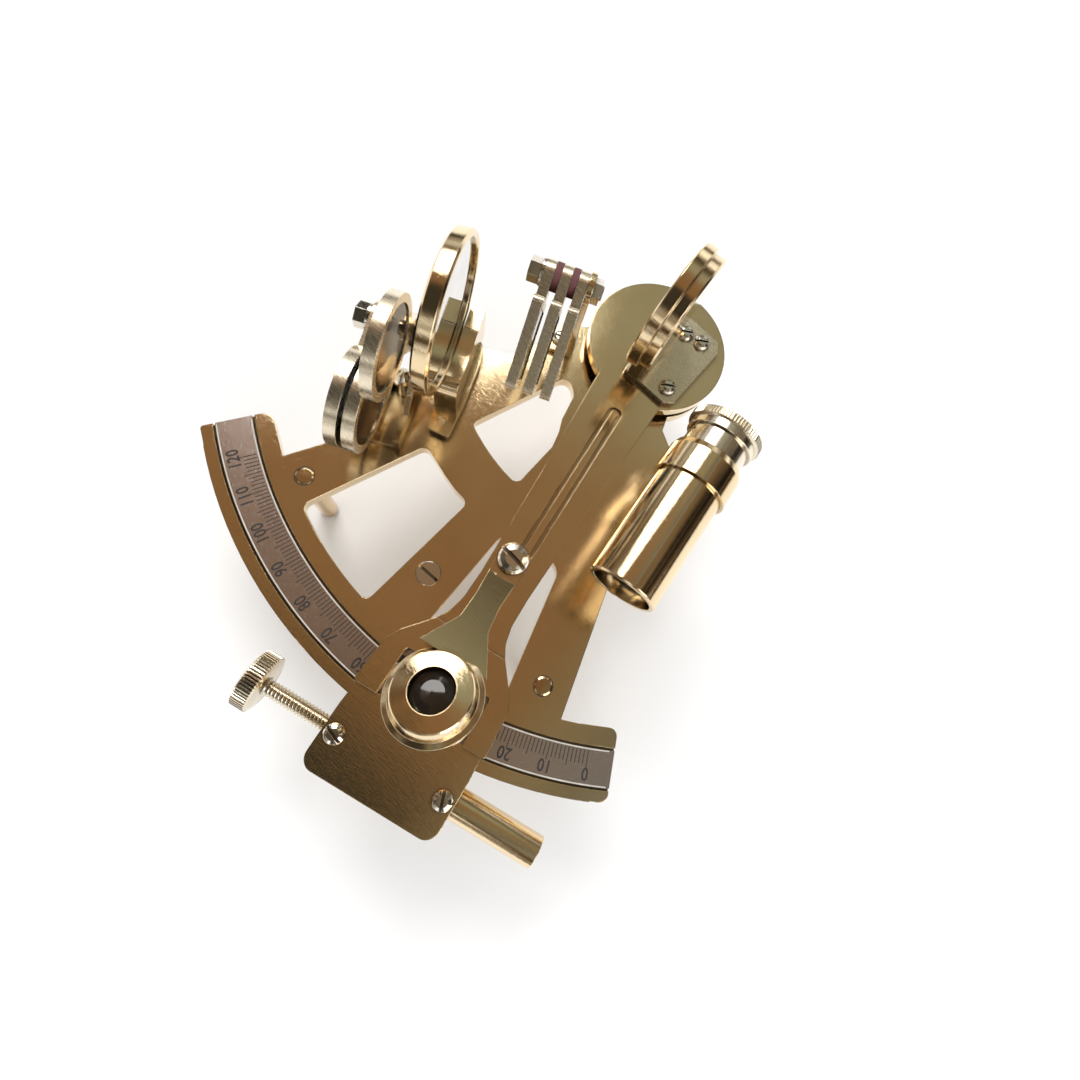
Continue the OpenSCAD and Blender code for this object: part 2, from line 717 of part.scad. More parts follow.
module spring_barrel() {
  color(BRASS) placed() difference() {
    union() {
      tangent_block(1);
      at_tangent() rod(barrel_r, block_v[1] - 0.1, barrel_v);
    }
    at_tangent() rod(plunger_r + fit, block_v[0] - 1, barrel_v - 1);
    in_arm() translate([tangent_u, tangent_v, -0.8]) cylinder(r = 0.95, h = 4);
  }
}

module tangent_plunger() {
  color(STEEL) placed() at_tangent() rod(plunger_r, 4.2, plunger_end);
}

module tangent_spring() {
  turns = 9;
  pitch = (barrel_v - 2.5 - plunger_end) / turns;
  coil = [for (i = [0:2 * turns]) [i % 2 == 0 ? 1.4 : 1.8, plunger_end + i * pitch / 2]];
  color(STEEL) placed() at_tangent() rotate([0, 90, 0])
    rotate_extrude() polygon(concat([[1, plunger_end]], coil, [[1, barrel_v - 2.5]]));
}

module tangent_screw() {
  neck = -block_v[0] + fit;
  color(GOLD) placed() at_tangent() rotate([0, 90, 0]) rotate_extrude()
    polygon([[0, knob_v[0]], [knob_r - 0.5, knob_v[0]], [knob_r, knob_v[0] + 0.5], [knob_r, knob_v[1] - 0.5],
             [knob_r - 0.5, knob_v[1]], [tangent_r, knob_v[1]], [tangent_r, neck], [2.1, neck],
             [2.1, neck + 0.9], [tangent_r, neck + 0.9], [tangent_r, 2], [0, 2]]);
}

module clamp_block() {
  color(BRASS) placed() in_arm() difference() {
    union() {
      translate([83.4, -clamp_hw, -plate_t - 3.4]) cube([15.8, 2 * clamp_hw, 3.2]);
      translate([97.2, -1.4, block_floor + 0.2]) cube([8, 5.5, 0.9 - block_floor]);
      translate([93.8, -1.4, 0.2]) cube([4, 5.5, 0.9]);
    }
    translate([tangent_u, 0, tangent_z]) rotate([0, 0, 90]) rod(tangent_r + 0.15, -3, 3.6);
    translate([clamp_u, 0, -10]) cylinder(r = 1.25, h = 10);
  }
}

module clamp_screw() {
  color(GOLD) placed() in_arm() translate([clamp_u, 0, 0]) rotate_extrude()
    polygon([[0, -14], [4, -14], [4.5, -13.5], [4.5, -9.6], [4, -9.1], [2.2, -9.1], [2.2, -7.2], [1.2, -7.2],
             [1.2, -plate_t - 0.1], [0, -plate_t - 0.1]]);
}

// ---------- telescope ----------

module telescope_post() {
  color(BRASS) placed() translate([post_at[0], post_at[1], 0]) rotate_extrude()
    polygon([[0, -plate_t], [post_r - 0.4, -plate_t], [post_r - 0.4, 0], [post_r, 0], [post_r, 15.4], [0, 15.4]]);
}

module telescope_collar() {
  color(BRASS) placed() at_telescope() difference() {
    union() {
      translate([0, tele_off, tele_z]) rotate([0, 90, 0]) rotate_extrude() polygon([[0, tele_span[0]],
        [tele_r + 0.35, tele_span[0]], [tele_r + 0.75, 0.4], [tele_r + 0.75, 6], [0, 6]]);
      translate([0, 0, 9]) cylinder(r = 3.4, h = tele_z - 9 - 3);
    }
    translate([0, tele_off, tele_z]) rod(tele_r, -5, 8);
    translate([0, 0, 8]) cylinder(r = post_r + fit, h = 7.45);
  }
}

module telescope_tube() {
  color(BRASS) placed() at_telescope() translate([0, tele_off, tele_z]) rotate([0, 90, 0]) rotate_extrude()
    polygon([[draw_r + fit, tele_span[0]], [tele_r, tele_span[0]], [tele_r, tele_span[1] - 0.3],
             [tele_r - 0.25, tele_span[1]], [tele_r - 0.9, tele_span[1]], [tele_r - 0.9, tele_span[1] - 3],
             [draw_r + fit, tele_span[1] - 3]]);
}

module objective_lens() {
  z = tele_span[1] - 3;
  color(GLASS) placed() at_telescope() translate([0, tele_off, tele_z]) rotate([0, 90, 0]) rotate_extrude()
    polygon([[0, z - 2.6], [3, z - 2.4], [draw_r + fit, z - 1.6], [draw_r + fit, z], [tele_r - 1, z],
             [3, z + 0.7], [0, z + 0.9]]);
}

module eyepiece_tube() {
  color(GOLD) placed() at_telescope() translate([0, tele_off, tele_z]) rotate([0, 90, 0]) rotate_extrude()
    polygon([[draw_r - 0.6, -6], [draw_r - 0.6, 12], [draw_r, 12], [draw_r, -5.2], [6.8, -5.2], [6.8, -7],
             [7.5, -7.2], [7.5, -8.7], [7.2, -9], [5, -9], [4.6, -8.6], [4.6, -7.6], [draw_r - 0.6, -7.6]]);
}

module eyepiece_lens() {
  color(GLASS) placed() at_telescope() translate([0, tele_off, tele_z]) rotate([0, 90, 0]) rotate_extrude()
    polygon([[0, -8.2], [3, -8], [4.6, -7.6], [draw_r - 0.6, -7.6], [draw_r - 0.6, -6.2], [0, -5.7]]);
}

frame_plate();
scale_strip();
legs();
pivot_bush();
grip();
grip_posts();
grip_screws();
horizon_mirror_base();
horizon_mirror_cell();
horizon_mirror();
horizon_mirror_screws();
horizon_shade_bracket();
horizon_bracket_nut();
horizon_shade_bolt();
horizon_shade_washers();
horizon_shade_1();
horizon_shade_2();
horizon_shade_3();
horizon_glass_1();
horizon_glass_2();
horizon_glass_3();
index_shade_bracket();
index_bracket_screw();
index_shade_bolt();
index_shade_nut();
index_shade_washers();
index_fibre_washers();
index_shade_1();
index_shade_2();
index_shade_3();
index_glass_1();
index_glass_2();
index_glass_3();
pivot_shaft();
pivot_nut();
index_arm();
vernier_plate();
index_mirror_base();
index_mirror_cell();
index_mirror();
index_mirror_screws();
magnifier_post();
magnifier_screw();
magnifier_arm();
magnifier_lens();
tangent_cover();
cover_screws();
tangent_bearing();
spring_barrel();
tangent_spring();
tangent_plunger();
tangent_screw();
clamp_block();
clamp_screw();
telescope_post();
telescope_collar();
telescope_tube();
objective_lens();
eyepiece_tube();
eyepiece_lens();
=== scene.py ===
import json
import math

import bmesh
import bpy
from mathutils import Euler, Matrix, Vector


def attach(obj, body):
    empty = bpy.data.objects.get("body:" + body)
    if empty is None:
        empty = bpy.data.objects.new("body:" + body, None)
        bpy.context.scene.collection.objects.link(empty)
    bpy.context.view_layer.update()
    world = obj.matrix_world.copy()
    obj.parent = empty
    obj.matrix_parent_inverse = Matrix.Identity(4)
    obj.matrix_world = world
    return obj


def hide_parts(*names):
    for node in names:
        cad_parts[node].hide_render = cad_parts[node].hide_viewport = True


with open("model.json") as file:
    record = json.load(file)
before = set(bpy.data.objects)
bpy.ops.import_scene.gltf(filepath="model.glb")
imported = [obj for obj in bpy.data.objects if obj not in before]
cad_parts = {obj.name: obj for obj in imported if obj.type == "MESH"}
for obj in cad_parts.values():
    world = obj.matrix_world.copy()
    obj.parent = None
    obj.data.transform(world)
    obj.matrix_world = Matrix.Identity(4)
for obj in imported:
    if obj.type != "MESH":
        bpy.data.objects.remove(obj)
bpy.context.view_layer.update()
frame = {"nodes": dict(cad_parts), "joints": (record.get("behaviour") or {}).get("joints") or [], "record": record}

MM = 0.001
NODES = frame["nodes"]
JOINTS = {joint["name"]: joint for joint in frame["joints"]}

# Flat pieces are drawn in pivot coordinates: Z is the index arm's axis, and the frame's front face is at 0
PIVOT = Matrix.Translation(JOINTS["index_swing"]["pos_m"])
ARM_SIDE = Vector(JOINTS["tangent_turn"]["axis"])
ARM = math.degrees(math.atan2(ARM_SIDE.y, ARM_SIDE.x)) - 90

# Layout of the engraving, in millimetres and degrees
STRIP = (86.55, 93.3)
SCALE_START = -60
SCALE_STEP = -0.5
LAST_MARK = 120
NUMBER_R = 91.2
NUMBER_SIZE = 3.2
NUMBER_WIDTH = 0.82
ENGRAVED = (-0.01, 0.015)
VERNIER_EDGE = 86.3
VERNIER_STEP = 0.48

# Layout of the turned pieces, in millimetres
TELESCOPE_OFF = -0.66
RIVET_R = (1.86, 2.02)
KNOB_R = 5.5
THREAD_R = 1.6
THREAD_PITCH = 0.75
THREAD_DEPTH = 0.34
CLAMP_KNOB_R = 4.5
EYEPIECE_KNURL_R = 7.5

# Light outside reflections
PLAIN_LIGHT = 0.82

# The camera: its place from the pivot in metres, and its turns about X, Y and Z in degrees
CAMERA_AT = (0.01536, -0.08168, 0.13483)
CAMERA_TURNS = (16.878, -11.7, 39.762)
CAMERA_LENS = 22.08
CAMERA_SHIFT = (-0.0555, -0.0575)


# ---------- materials ----------

def new_material(name):
    mat = bpy.data.materials.new(name)
    mat.use_nodes = True
    tree = mat.node_tree
    shader = tree.nodes["Principled BSDF"]
    return mat, tree, shader


def noise(tree, coords, scale, stretch=(1, 1, 1), turn=0, detail=4):
    """Noise over the given coordinates; stretch makes grain, turn rotates it about Z."""
    mapping = tree.nodes.new("ShaderNodeMapping")
    mapping.inputs["Scale"].default_value = stretch
    mapping.inputs["Rotation"].default_value = (0, 0, math.radians(turn))
    tree.links.new(coords, mapping.inputs["Vector"])
    tex = tree.nodes.new("ShaderNodeTexNoise")
    tex.inputs["Scale"].default_value = scale
    tex.inputs["Detail"].default_value = detail
    tree.links.new(mapping.outputs["Vector"], tex.inputs["Vector"])
    return tex.outputs["Fac"]


def ramp(tree, value, stops):
    node = tree.nodes.new("ShaderNodeValToRGB")
    node.color_ramp.elements[0].position, node.color_ramp.elements[0].color = stops[0]
    node.color_ramp.elements[1].position, node.color_ramp.elements[1].color = stops[-1]
    for position, color in stops[1:-1]:
        node.color_ramp.elements.new(position).color = color
    tree.links.new(value, node.inputs["Fac"])
    return node.outputs["Color"]


def scaled(tree, value, factor, add):
    node = tree.nodes.new("ShaderNodeMath")
    node.operation = "MULTIPLY_ADD"
    node.inputs[1].default_value = factor
    node.inputs[2].default_value = add
    tree.links.new(value, node.inputs[0])
    return node.outputs[0]


def mix(tree, factor, a, b):
    node = tree.nodes.new("ShaderNodeMix")
    node.data_type = "RGBA"
    tree.links.new(factor, node.inputs[0])
    for socket, value in ((node.inputs[6], a), (node.inputs[7], b)):
        if isinstance(value, tuple):
            socket.default_value = value
        else:
            tree.links.new(value, socket)
    return node.outputs[2]


def grey(v):
    return (v, v, v, 1)


def round_the_arc(tree, coords):
    """Coordinates that follow the scale: distance from the pivot, and position round the arc."""
    parts = tree.nodes.new("ShaderNodeSeparateXYZ")
    shift = tree.nodes.new("ShaderNodeVectorMath")
    shift.operation = "SUBTRACT"
    shift.inputs[1].default_value = PIVOT.translation
    tree.links.new(coords, shift.inputs[0])
    tree.links.new(shift.outputs["Vector"], parts.inputs["Vector"])
    reach = tree.nodes.new("ShaderNodeVectorMath")
    reach.operation = "LENGTH"
    tree.links.new(shift.outputs["Vector"], reach.inputs[0])
    angle = tree.nodes.new("ShaderNodeMath")
    angle.operation = "ARCTAN2"
    tree.links.new(parts.outputs["Y"], angle.inputs[0])
    tree.links.new(parts.outputs["X"], angle.inputs[1])
    joined = tree.nodes.new("ShaderNodeCombineXYZ")
    tree.links.new(scaled(tree, angle.outputs[0], 0.09, 0), joined.inputs["X"])
    tree.links.new(reach.outputs["Value"], joined.inputs["Y"])
    return joined.outputs["Vector"]


def metal(name, color, stain, rough, grain_turn=0, grain=0.35, edge=0.18, arc=False):
    """Polished metal with fine brushing, faint stains, painted shade darkening the crevices, and softly rounded
    edges.
    """
    mat, tree, shader = new_material(name)
    coords = tree.nodes.new("ShaderNodeTexCoord").outputs["Object"]
    if arc:
        coords = round_the_arc(tree, coords)
    blotch = noise(tree, coords, 60, detail=6)
    fine = noise(tree, coords, 700, stretch=(1, 12, 3), turn=grain_turn, detail=6)
    tint = mix(tree, ramp(tree, blotch, [(0.38, grey(0)), (0.72, grey(0.6))]), color, stain)
    # painted shade: a near-black colour mixed into the base colour where ambient occlusion finds close surfaces,
    # in crevices, corners, slots and between parts
    crevice_shade = tuple(0.06 * c for c in stain[:3]) + (1,)
    crevice = tree.nodes.new("ShaderNodeAmbientOcclusion")
    crevice.samples = 6
    crevice.inputs["Distance"].default_value = 1.6 * MM
    deep = ramp(tree, crevice.outputs["AO"], [(0.22, grey(1)), (0.5, grey(0.45)), (0.82, grey(0))])
    tree.links.new(mix(tree, deep, tint, crevice_shade), shader.inputs["Base Color"])
    shader.inputs["Metallic"].default_value = 1
    smear = ramp(tree, fine, [(0.3, grey(rough * 0.75)), (0.75, grey(rough * 1.5))])
    tree.links.new(smear, shader.inputs["Roughness"])
    round_edge = tree.nodes.new("ShaderNodeBevel")
    round_edge.samples = 4
    round_edge.inputs["Radius"].default_value = edge * MM
    bump = tree.nodes.new("ShaderNodeBump")
    bump.inputs["Strength"].default_value = grain
    bump.inputs["Distance"].default_value = 0.02 * MM
    tree.links.new(fine, bump.inputs["Height"])
    tree.links.new(round_edge.outputs["Normal"], bump.inputs["Normal"])
    tree.links.new(bump.outputs["Normal"], shader.inputs["Normal"])
    return mat


def clear_glass(name, tint):
    mat, tree, shader = new_material(name)
    coords = tree.nodes.new("ShaderNodeTexCoord").outputs["Object"]
    smear = noise(tree, coords, 250, detail=3)
    tree.links.new(ramp(tree, smear, [(0.4, grey(0.01)), (0.8, grey(0.08))]), shader.inputs["Roughness"])
    tree.links.new(mix(tree, smear, tint, grey(0.95)), shader.inputs["Base Color"])
    shader.inputs["Transmission Weight"].default_value = 1
    shader.inputs["IOR"].default_value = 1.5
    return mat


def dark_glass(name, tint):
    mat, tree, shader = new_material(name)
    coords = tree.nodes.new("ShaderNodeTexCoord").outputs["Object"]
    cloud = noise(tree, coords, 200, detail=4)
    paler = tuple(2.2 * c for c in tint[:3]) + (1,)
    tree.links.new(mix(tree, cloud, tint, paler), shader.inputs["Base Color"])
    tree.links.new(ramp(tree, cloud, [(0.3, grey(0.04)), (0.8, grey(0.14))]), shader.inputs["Roughness"])
    shader.inputs["Transmission Weight"].default_value = 0.35
    shader.inputs["IOR"].default_value = 1.5
    return mat


def silvered(name):
    mat, tree, shader = new_material(name)
    coords = tree.nodes.new("ShaderNodeTexCoord").outputs["Object"]
    haze = noise(tree, coords, 160, detail=5)
    tree.links.new(ramp(tree, haze, [(0.3, grey(0.86)), (0.8, grey(0.7))]), shader.inputs["Base Color"])
    tree.links.new(ramp(tree, haze, [(0.35, grey(0.02)), (0.8, grey(0.09))]), shader.inputs["Roughness"])
    shader.inputs["Metallic"].default_value = 1
    return mat


def matte(name, color, other, scale, rough, height=0.05):
    mat, tree, shader = new_material(name)
    coords = tree.nodes.new("ShaderNodeTexCoord").outputs["Object"]
    grit = noise(tree, coords, scale, detail=5)
    tree.links.new(mix(tree, grit, color, other), shader.inputs["Base Color"])
    shader.inputs["Roughness"].default_value = rough
    bump = tree.nodes.new("ShaderNodeBump")
    bump.inputs["Strength"].default_value = 0.3
    bump.inputs["Distance"].default_value = height * MM
    tree.links.new(grit, bump.inputs["Height"])
    tree.links.new(bump.outputs["Normal"], shader.inputs["Normal"])
    return mat


MATERIALS = {
    "brass": metal("brass", (0.86, 0.69, 0.44, 1), (0.76, 0.56, 0.32, 1), 0.085, ARM, 0.6, 0.24),
    "brass_dark": metal("brass_dark", (0.7, 0.52, 0.3, 1), (0.54, 0.37, 0.19, 1), 0.13, 20),
    "brass_gold": metal("brass_gold", (0.84, 0.75, 0.59, 1), (0.76, 0.65, 0.47, 1), 0.24, 40),
    "steel": metal("steel", (0.84, 0.8, 0.72, 1), (0.7, 0.65, 0.54, 1), 0.11, 10),
    "nickel_strip": metal("nickel_strip", (0.7, 0.62, 0.6, 1), (0.6, 0.53, 0.52, 1), 0.2, 0, 0.3, arc=True),
    "mirror_glass": silvered("mirror_glass"),
    "lens_glass": clear_glass("lens_glass", (0.93, 0.97, 0.97, 1)),
    # lens_deep is near-black tinted glass: painted shade, used to make the magnifier's lens look dark
    "lens_deep": dark_glass("lens_deep", (0.014, 0.01, 0.007, 1)),
    "shade_dark": dark_glass("shade_dark", (0.012, 0.012, 0.01, 1)),
    "shade_brown": dark_glass("shade_brown", (0.03, 0.016, 0.008, 1)),
    "shade_green": dark_glass("shade_green", (0.012, 0.022, 0.012, 1)),
    "fibre": matte("fibre", (0.1, 0.028, 0.035, 1), (0.16, 0.05, 0.05, 1), 900, 0.7),
}
# Pale matte grey in place of metal for the strip's edge ridges: a painted highlight standing for the glint of
# their polished edges
EDGE_HIGHLIGHT = matte("painted_edge_highlight", (0.34, 0.31, 0.26, 1), (0.8, 0.78, 0.74, 1), 420, 0.3, 0.01)
KNURLED = metal("knurled_brass", (0.86, 0.78, 0.64, 1), (0.78, 0.68, 0.5, 1), 0.16, 40, 0.3, 0.02)
INK = matte("engraving_ink", (0.012, 0.01, 0.009, 1), (0.05, 0.04, 0.035, 1), 1200, 0.6, 0.01)
FLOOR = matte("pale_floor", (0.86, 0.86, 0.86, 1), (0.9, 0.9, 0.9, 1), 12, 0.9, 0.02)


# ---------- geometry helpers ----------

def mesh_object(name, verts, faces, material, smooth=True):
    mesh = bpy.data.meshes.new(name)
    mesh.from_pydata([tuple(v) for v in verts], [], faces)
    shell = bmesh.new()
    shell.from_mesh(mesh)
    bmesh.ops.recalc_face_normals(shell, faces=shell.faces)
    shell.to_mesh(mesh)
    shell.free()
    obj = bpy.data.objects.new(name, mesh)
    bpy.context.collection.objects.link(obj)
    mesh.materials.append(material)
    if smooth:
        for poly in mesh.polygons:
            poly.use_smooth = True
        mesh.set_sharp_from_angle(angle=math.radians(35))
    return obj


def turned(name, profile, place, material, steps=96, ridge=None):
    """A turned piece about local X. profile is [(x, r)], with flat ends, or closed on itself if its first
    and last points agree. ridge(x, turn, r) adds to the radius, for knurls and threads."""
    rings = profile[:-1] if profile[0] == profile[-1] else profile
    verts, faces = [], []
    for x, r in rings:
        for i in range(steps):
            rad = r + (ridge(x, i / steps, r) if ridge else 0)
            a = 2 * math.pi * i / steps
            verts.append(place @ Vector((x * MM, rad * MM * math.cos(a), rad * MM * math.sin(a))))
    for row in range(len(profile) - 1):
        low, high = row * steps, ((row + 1) % len(rings)) * steps
        for i in range(steps):
            j = (i + 1) % steps
            faces.append((low + i, low + j, high + j, high + i))
    if len(rings) == len(profile):
        faces.append(tuple(range(steps)))
        faces.append(tuple(range((len(rings) - 1) * steps, len(rings) * steps)))
    return mesh_object(name, verts, faces, material)


def grooves(count, depth, turn):
    """Depth of a straight knurl at this part of a turn: flat-topped ridges between narrow grooves."""
    return -depth * max(0, 1 - 3 * abs((turn * count + 0.5) % 1 - 0.5))


def along(point, axis):
    """Matrix whose local X runs along axis, from point."""
    axis = Vector(axis)
    return Matrix.Translation(point) @ Vector((1, 0, 0)).rotation_difference(axis).to_matrix().to_4x4()


def tangent_place():
    """On the tangent screw's axis, at the arm's centre line."""
    joint = JOINTS["tangent_turn"]
    return along(Vector(joint["pos_m"]) + 20 * MM * Vector(joint["axis"]), joint["axis"])


def clamp_place():
    """On the clamp screw's axis, at the height of the frame's front face."""
    x, y, _ = JOINTS["clamp_screw_turn"]["pos_m"]
    return along((x, y, PIVOT.translation.z), (0, 0, 1))


def telescope_place():
    """On the telescope's axis, beside its post."""
    axis = Vector(JOINTS["eyepiece_draw"]["axis"])
    side = Vector((-axis.y, axis.x, 0))
    return along(Vector(JOINTS["telescope_swivel"]["pos_m"]) + TELESCOPE_OFF * MM * side, axis)


def radial_bars(name, bars, z, thickness, material):
    """Thin engraved strokes: each bar is (angle, r1, r2, width) in the frame plane."""
    verts, faces = [], []
    for angle, r1, r2, width in bars:
        a = math.radians(angle)
        out = Vector((math.cos(a), math.sin(a), 0))
        side = Vector((-math.sin(a), math.cos(a), 0)) * width / 2
        base = len(verts)
        for level in (z, z + thickness):
            up = Vector((0, 0, level))
            verts += [(out * r1 - side + up) * MM, (out * r2 - side + up) * MM,
                      (out * r2 + side + up) * MM, (out * r1 + side + up) * MM]
        faces += [(base + 3, base + 2, base + 1, base), (base + 4, base + 5, base + 6, base + 7)]
        faces += [(base + i, base + (i + 1) % 4, base + 4 + (i + 1) % 4, base + 4 + i) for i in range(4)]
    return mesh_object(name, [PIVOT @ v for v in verts], faces, material, smooth=False)


# ---------- engraved scale ----------

def scale_angle(mark):
    return SCALE_START + SCALE_STEP * mark


def scale_ticks():
    bars = []
    for mark in range(LAST_MARK + 1):
        length = 3.7 if mark % 5 == 0 else 3
        bars.append((scale_angle(mark), STRIP[0] + 0.5, STRIP[0] + length, 0.17))
    return radial_bars("scale_ticks", bars, ENGRAVED[0], ENGRAVED[1] - ENGRAVED[0], INK)


def strip_edges():
    """A low ridge along each side of the strip, for its polished edges, coloured pale matte grey as a painted
    highlight.
    """
    steps = 160
    start, sweep = SCALE_START + 2.7, 67.6
    verts, faces = [], []
    for inner in (STRIP[0] + 0.02, STRIP[1] - 0.32):
        base = len(verts)
        for i in range(steps + 1):
            a = math.radians(start - sweep * i / steps)
            for r, z in ((inner, -0.02), (inner + 0.1, 0.08), (inner + 0.2, 0.08), (inner + 0.3, -0.02)):
                verts.append(PIVOT @ Vector((r * MM * math.cos(a), r * MM * math.sin(a), z * MM)))
        for i in range(steps):
            row = base + 4 * i
            faces += [(row + k, row + (k + 1) % 4, row + 4 + (k + 1) % 4, row + 4 + k) for k in range(4)]
        faces += [tuple(range(base, base + 4)), tuple(range(base + 4 * steps, base + 4 * steps + 4))]
    return mesh_object("strip_edges", verts, faces, EDGE_HIGHLIGHT)


def number(mark):
    curve = bpy.data.curves.new("scale_number_%03d" % mark, "FONT")
    curve.body = str(mark)
    curve.size = NUMBER_SIZE * MM
    curve.align_x = "CENTER"
    curve.align_y = "CENTER"
    curve.extrude = 0.012 * MM
    curve.offset = 0.05 * MM
    curve.space_character = 1.05
    text = bpy.data.objects.new(curve.name, curve)
    bpy.context.collection.objects.link(text)
    a = math.radians(scale_angle(mark))
    out = Vector((math.cos(a), math.sin(a), 0))
    spot = Matrix.Translation(out * NUMBER_R * MM)
    narrow = Matrix.Scale(NUMBER_WIDTH, 4, (1, 0, 0))
    text.matrix_world = PIVOT @ spot @ Matrix.Rotation(a - math.radians(90), 4, "Z") @ narrow
    bpy.context.view_layer.update()
    mesh = bpy.data.meshes.new_from_object(text.evaluated_get(bpy.context.evaluated_depsgraph_get()))
    mesh.transform(text.matrix_world)
    bpy.data.objects.remove(text)
    mesh.materials.clear()
    mesh.materials.append(INK)
    obj = bpy.data.objects.new(curve.name, mesh)
    bpy.context.collection.objects.link(obj)
    return obj


def vernier_ticks():
    """Marks on the vernier's sloping face; low and high are its edges as (radius, height)."""
    bars = []
    for i in range(-10, 11):
        length = 1.5 if i % 5 == 0 else 1.0
        bars.append((ARM + i * VERNIER_STEP, VERNIER_EDGE - 0.05 - length, VERNIER_EDGE, 0.12))
    obj = radial_bars("vernier_ticks", bars, 0, 0.03, INK)
    low, high = (86.4, 0.4), (84.8, 3.1)
    slope = (high[1] - low[1]) / (high[0] - low[0])
    for v in obj.data.vertices:
        r = (v.co - PIVOT.translation).to_2d().length / MM
        v.co.z += (low[1] + 0.02 + slope * (r - low[0])) * MM
    return obj


# ---------- turned pieces with knurls and threads ----------

def tangent_screw():
    """Knurled knob, thread and collar, turned in one."""
    thread = (-26.8, -8.8)
    row = THREAD_PITCH / 6
    profile = [(-30.9, 0.4), (-30.9, 4.4), (-30.75, 4.9), (-30.5, 5.2), (-30.4, KNOB_R)]
    profile += [(-30.4 + 0.4 * i, KNOB_R) for i in range(1, 7)]
    profile += [(-27.6, KNOB_R), (-27.5, 5.2), (-27.25, 4.9), (-27.1, 4.4), (-27.1, 1.7), (-26.9, 1.7)]
    profile += [(thread[0] + row * i, THREAD_R) for i in range(round((thread[1] - thread[0]) / row))]
    profile += [(-8.65, 1.3), (-8.65, 2.1), (-7.75, 2.1), (-7.75, 1.3), (2, 1.3), (2, 0.4)]

    def relief(x, turn, r):
        if r == KNOB_R:
            return grooves(56, 0.34, turn)
        if r == THREAD_R:
            return THREAD_DEPTH / 2 * (math.cos(2 * math.pi * (x / THREAD_PITCH - turn)) - 1)
        return 0
    return turned("tangent_screw_detail", profile, tangent_place(), KNURLED, 56 * 6, relief)


def clamp_screw():
    profile = [(-14, 0.4), (-14, 3.6), (-13.8, 4.1), (-13.5, CLAMP_KNOB_R)]
    profile += [(-13.5 + 0.5 * i, CLAMP_KNOB_R) for i in range(1, 8)]
    profile += [(-9.6, CLAMP_KNOB_R), (-9.3, 4.1), (-9.1, 3.6), (-9.1, 2.2), (-7.2, 2.2), (-7.2, 1.2)]
    profile += [(-3.1, 1.2), (-3.1, 0.4)]
    return turned("clamp_screw_detail", profile, clamp_place(), KNURLED, 46 * 6,
                  lambda x, turn, r: grooves(46, 0.3, turn) if r == CLAMP_KNOB_R else 0)


def eyepiece():
    profile = [(12, 5.55), (12, 6.15), (-5.2, 6.15), (-5.2, 6.7), (-5.3, 6.8), (-6.9, 6.8), (-7.05, 7.1)]
    profile += [(-7.15 - 0.25 * i, EYEPIECE_KNURL_R) for i in range(7)]
    profile += [(-8.8, 7.1), (-9, 6.9), (-9, 5), (-8.6, 4.6), (-7.6, 4.6), (-7.6, 5.55), (12, 5.55)]
    return turned("eyepiece_detail", profile, telescope_place(), KNURLED, 72 * 6,
                  lambda x, turn, r: grooves(72, 0.25, turn) if r == EYEPIECE_KNURL_R else 0)


def rivet_ring(name, foot):
    """The dark line round the head of a leg's rivet, on the frame's front face."""
    inner, outer = RIVET_R
    low, high = -0.02, ENGRAVED[1]
    profile = [(low, inner), (high, inner), (high, outer), (low, outer), (low, inner)]
    spot = (foot[0], foot[1], PIVOT.translation.z)
    return turned(name, profile, along(spot, (0, 0, 1)), INK, 48)


# ---------- put together ----------

def paint_nodes():
    slots = {part["node"]: part["material_slot"] for part in frame["record"]["subparts"]}
    for name, obj in NODES.items():
        obj.data.materials.clear()
        obj.data.materials.append(MATERIALS[slots[name]])
    # painted shade: the magnifier's lens gets near-black tinted glass in place of its own slot's material, so it
    # looks dark
    NODES["magnifier_lens"].data.materials[0] = MATERIALS["lens_deep"]


def add_engraving():
    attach(scale_ticks(), "frame")
    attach(strip_edges(), "frame")
    for mark in range(0, LAST_MARK + 1, 10):
        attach(number(mark), "frame")
    in_sight = [mount for mount in frame["record"]["mounts"] if mount["name"] != "foot_top"]
    for mount in in_sight:
        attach(rivet_ring("rivet_ring_" + mount["name"], mount["pos_m"]), "frame")
    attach(vernier_ticks(), "index")


def add_turned_pieces():
    for build, body, node in ((tangent_screw, "tangent_screw", "tangent_screw"),
                              (clamp_screw, "clamp_screw", "clamp_screw"),
                              (eyepiece, "eyepiece", "eyepiece_tube")):
        detail = build()
        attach(detail, body)
        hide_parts(node)


# ---------- floor, light and camera ----------

def floor():
    size = 1.5
    verts = [(-size, -size, 0), (size, -size, 0), (size, size, 0), (-size, size, 0)]
    return mesh_object("floor", verts, [(0, 1, 2, 3)], FLOOR, smooth=False)


def softbox(name, location, target, size, power, color):
    data = bpy.data.lights.new(name, "AREA")
    data.shape = "RECTANGLE"
    data.size, data.size_y = size
    data.energy = power
    data.color = color
    obj = bpy.data.objects.new(name, data)
    bpy.context.collection.objects.link(obj)
    obj.location = location
    obj.rotation_euler = (Vector(target) - Vector(location)).to_track_quat("-Z", "Y").to_euler()


def room_walls(tree, coords):
    """Broad light and dark areas at the height of the eye."""
    return ramp(tree, noise(tree, coords, 1.9, stretch=(1, 1, 1.8), detail=3), [
        (0.4, (0.01, 0.009, 0.007, 1)), (0.46, (0.09, 0.06, 0.035, 1)), (0.52, (0.22, 0.17, 0.12, 1)),
        (0.59, (0.5, 0.5, 0.48, 1)), (0.64, (1.4, 1.42, 1.4, 1))])


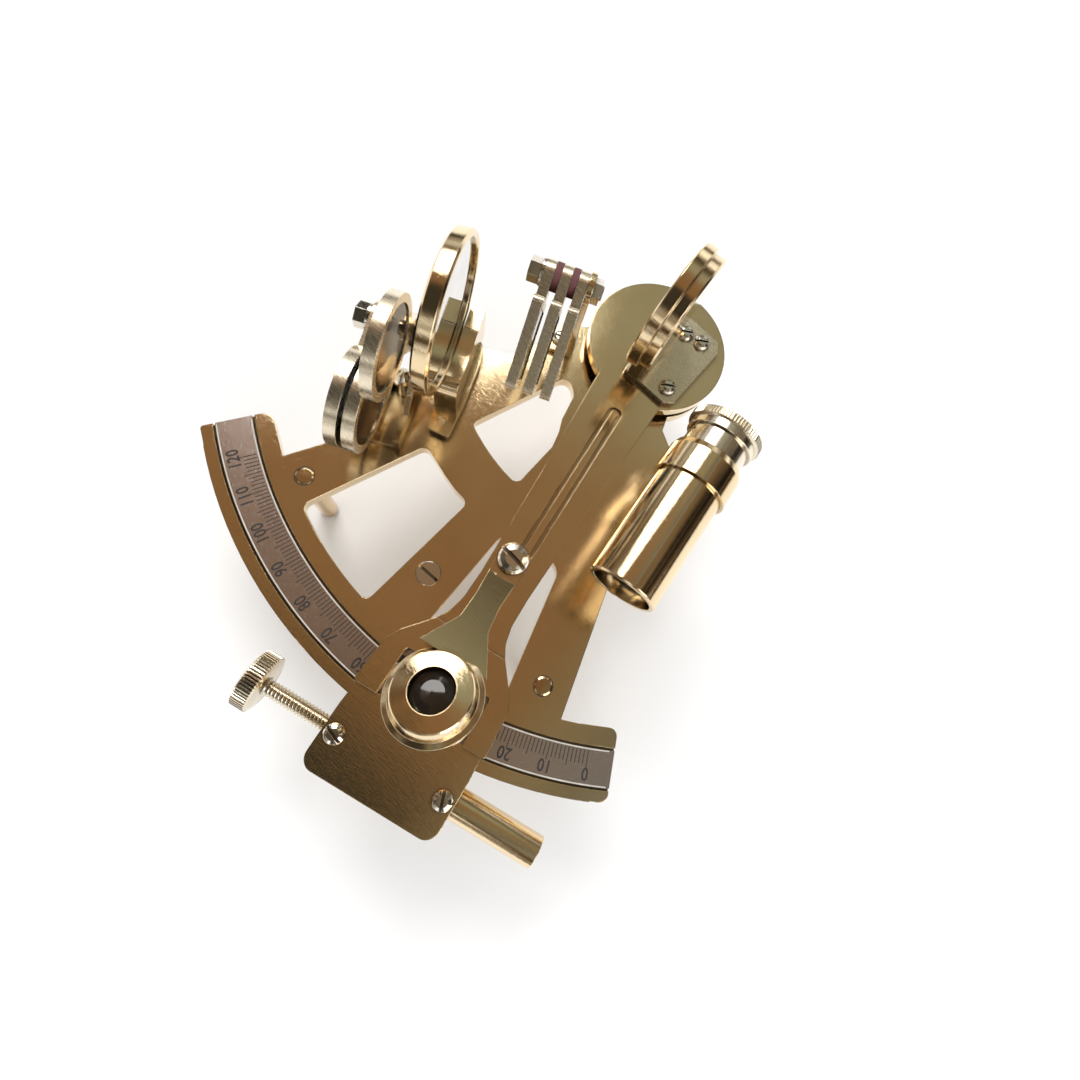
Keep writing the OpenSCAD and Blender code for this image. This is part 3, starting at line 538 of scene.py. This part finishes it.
def room_ceiling(tree, x, y):
    """A brown ceiling with a dark patch towards -Y and a pale, banded side towards +X."""
    middle = ramp(tree, y, [
        (0.3, (0.045, 0.04, 0.03, 1)), (0.375, (0.05, 0.045, 0.03, 1)), (0.395, (0.26, 0.16, 0.08, 1)),
        (0.6, (0.25, 0.15, 0.08, 1)), (0.85, (0.27, 0.19, 0.11, 1)), (0.98, (0.32, 0.33, 0.25, 1))])
    side = ramp(tree, x, [
        (0.6, (0.2, 0.15, 0.09, 1)), (0.68, (0.3, 0.27, 0.19, 1)), (0.72, (0.05, 0.04, 0.025, 1)),
        (0.76, (0.3, 0.32, 0.3, 1)), (0.84, (0.2, 0.14, 0.08, 1))])
    return mix(tree, ramp(tree, x, [(0.57, grey(0)), (0.63, grey(1))]), middle, side)


def sky():
    """Plain white light all round, except in reflections, where the brass sees a soft room."""
    world = bpy.data.worlds.new("studio")
    bpy.context.scene.world = world
    world.use_nodes = True
    tree = world.node_tree
    coords = tree.nodes.new("ShaderNodeTexCoord").outputs["Generated"]
    split = tree.nodes.new("ShaderNodeSeparateXYZ")
    tree.links.new(coords, split.inputs["Vector"])
    across = scaled(tree, split.outputs["X"], 1, 0.5)
    ahead = scaled(tree, split.outputs["Y"], 1, 0.5)
    height = ramp(tree, split.outputs["Z"], [(0.62, grey(0)), (0.8, grey(1))])
    room = mix(tree, height, room_walls(tree, coords), room_ceiling(tree, across, ahead))
    path = tree.nodes.new("ShaderNodeLightPath")
    light = mix(tree, path.outputs["Is Glossy Ray"], grey(PLAIN_LIGHT), room)
    tree.links.new(light, tree.nodes["Background"].inputs["Color"])


def camera():
    data = bpy.data.cameras.new("camera")
    obj = bpy.data.objects.new("camera", data)
    bpy.context.collection.objects.link(obj)
    data.sensor_width = 36
    data.lens = CAMERA_LENS
    data.shift_x, data.shift_y = CAMERA_SHIFT
    data.clip_start = 0.005
    data.clip_end = 20
    turns = Euler([math.radians(turn) for turn in CAMERA_TURNS])
    obj.matrix_world = PIVOT @ Matrix.Translation(CAMERA_AT) @ turns.to_matrix().to_4x4()
    bpy.context.scene.camera = obj


paint_nodes()
add_engraving()
add_turned_pieces()
floor()
softbox("key", (-0.5, 0.35, 0.75), (0, -0.04, 0), (0.45, 0.45), 5, (1, 0.98, 0.95))
softbox("fill", (0.7, -0.3, 0.5), (0, -0.04, 0), (0.5, 0.5), 3, (0.97, 0.98, 1))
sky()
camera()
bpy.context.scene.view_settings.view_transform = "Standard"
